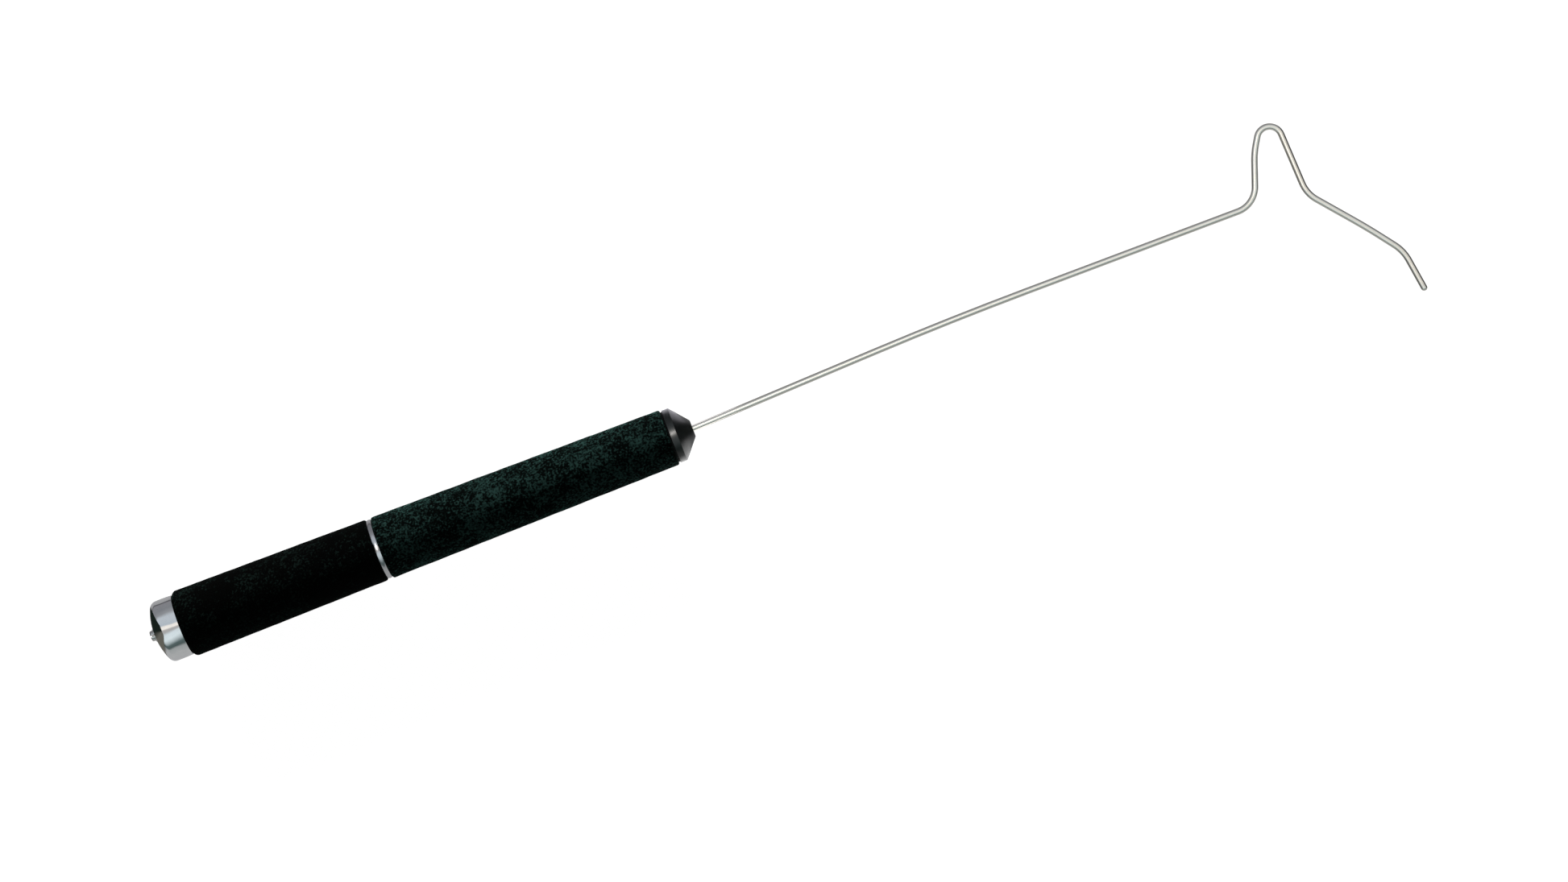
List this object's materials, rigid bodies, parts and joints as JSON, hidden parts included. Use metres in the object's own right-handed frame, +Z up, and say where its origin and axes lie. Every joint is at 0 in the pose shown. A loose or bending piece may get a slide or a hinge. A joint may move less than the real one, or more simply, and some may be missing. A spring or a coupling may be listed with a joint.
{
  "type": "wire hook retriever",
  "caption": "Straight hand tool: foam-sleeved tapered handle with a domed metal butt cap and black conical nose, and a long bent wire ending in a U-shaped catch with a slanted lead-in arm.",
  "frame": {"origin": "on the handle's axis, where the butt cap meets the rear foam grip", "axes": "+X along the handle towards the hook, +Y in the hook's plane towards the closed end of the catch, +Z up with the tool lying on its side"},
  "size_m": [0.6286, 0.1018, 0.0328],
  "materials": {
    "wire": "bright drawn stainless wire",
    "nose": "glossy black",
    "gasket": "matte black rubber",
    "front_foam": "matte closed-cell foam, near black with a green cast",
    "rear_foam": "matte closed-cell foam, near black",
    "ring": "satin",
    "cap": "polished",
    "tube": "drawn tube",
    "turned_parts": "turned",
    "dark_screws": "black oxide",
    "bright_screws": "zinc-plated"
  },
  "bodies": {
    "root": {"hook_rod": "wire", "nose_cone": "nose", "nose_gasket": "gasket", "front_grip": "front_foam", "trim_ring": "ring", "rear_grip": "rear_foam", "handle_tube": "tube", "front_bush": "turned_parts", "tail_bush": "turned_parts", "set_screws": "dark_screws", "rear_plug": "turned_parts", "plug_pin": "bright_screws", "butt_cap": "cap", "butt_washer": "bright_screws", "butt_screw": "bright_screws"}
  },
  "joints": []
}
